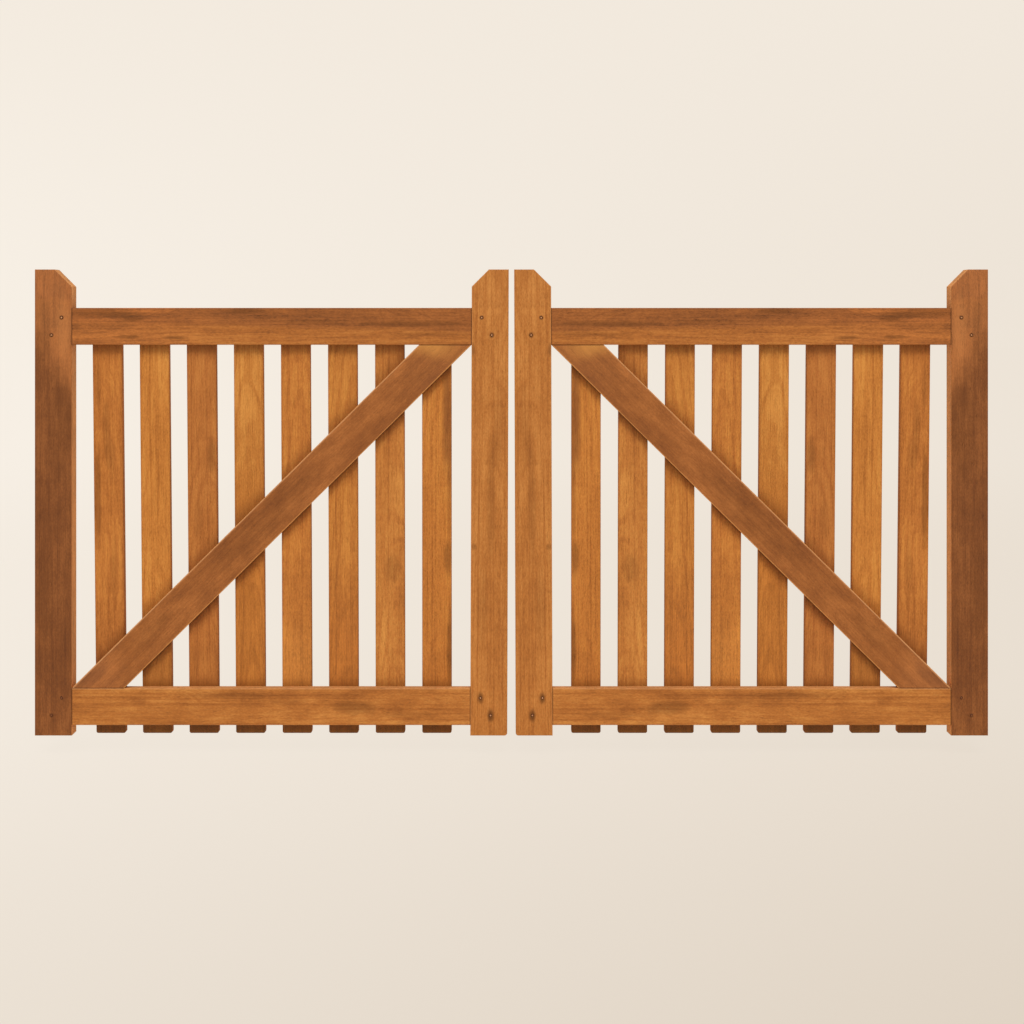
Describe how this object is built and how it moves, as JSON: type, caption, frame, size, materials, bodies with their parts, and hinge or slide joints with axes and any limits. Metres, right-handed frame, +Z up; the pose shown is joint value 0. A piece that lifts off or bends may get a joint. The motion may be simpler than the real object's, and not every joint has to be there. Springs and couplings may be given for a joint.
{
  "type": "pair of driveway gates",
  "caption": "Pair of framed, ledged and braced timber driveway gates with vertical pickets, pegged joints, splayed stile tops and lift-off butt hinges at their outer edges.",
  "frame": {"origin": "middle of the post-side face of the lower left fixed hinge plate", "axes": "+X along the closed gates to the right, +Y from the braced side towards the posts, +Z up"},
  "size_m": [2.47, 0.061, 1.2],
  "materials": {
    "dark_brown_hardwood": "oiled dark brown hardwood with a dull sheen",
    "red_brown_hardwood": "oiled red-brown hardwood with a dull sheen",
    "mid_brown_hardwood": "oiled mid-brown hardwood with a dull sheen",
    "golden_hardwood": "oiled golden hardwood with a dull sheen",
    "dowel_end_grain": "pale sawn end grain",
    "hinge_steel": "black powder coat"
  },
  "bodies": {
    "post_hinge_plates": {"left_lower_post_hinge_plate": "hinge_steel", "left_upper_post_hinge_plate": "hinge_steel", "right_lower_post_hinge_plate": "hinge_steel", "right_upper_post_hinge_plate": "hinge_steel"},
    "left_leaf": {"left_bottom_rail": "red_brown_hardwood", "left_brace": "mid_brown_hardwood", "left_hanging_bottom_dowels": "dowel_end_grain", "left_hanging_stile": "dark_brown_hardwood", "left_hanging_top_dowels": "dowel_end_grain", "left_lower_gate_hinge_plate": "hinge_steel", "left_meeting_bottom_dowels": "dowel_end_grain", "left_meeting_stile": "red_brown_hardwood", "left_meeting_top_dowels": "dowel_end_grain", "left_picket_1": "golden_hardwood", "left_picket_2": "golden_hardwood", "left_picket_3": "golden_hardwood", "left_picket_4": "golden_hardwood", "left_picket_5": "golden_hardwood", "left_picket_6": "golden_hardwood", "left_picket_7": "golden_hardwood", "left_picket_8": "golden_hardwood", "left_top_rail": "red_brown_hardwood", "left_upper_gate_hinge_plate": "hinge_steel"},
    "right_leaf": {"right_bottom_rail": "red_brown_hardwood", "right_brace": "mid_brown_hardwood", "right_hanging_bottom_dowels": "dowel_end_grain", "right_hanging_stile": "dark_brown_hardwood", "right_hanging_top_dowels": "dowel_end_grain", "right_lower_gate_hinge_plate": "hinge_steel", "right_meeting_bottom_dowels": "dowel_end_grain", "right_meeting_stile": "red_brown_hardwood", "right_meeting_top_dowels": "dowel_end_grain", "right_picket_1": "golden_hardwood", "right_picket_2": "golden_hardwood", "right_picket_3": "golden_hardwood", "right_picket_4": "golden_hardwood", "right_picket_5": "golden_hardwood", "right_picket_6": "golden_hardwood", "right_picket_7": "golden_hardwood", "right_picket_8": "golden_hardwood", "right_top_rail": "red_brown_hardwood", "right_upper_gate_hinge_plate": "hinge_steel"}
  },
  "joints": [
    {"name": "left_leaf_swing", "type": "hinge", "parent": "post_hinge_plates", "child": "left_leaf", "pos_m": [-0.03, -0.008, 0], "axis": [0, 0, -1], "range_deg": [0, 90]},
    {"name": "right_leaf_swing", "type": "hinge", "parent": "post_hinge_plates", "child": "right_leaf", "pos_m": [2.424, -0.008, 0], "axis": [0, 0, 1], "range_deg": [0, 90]}
  ]
}
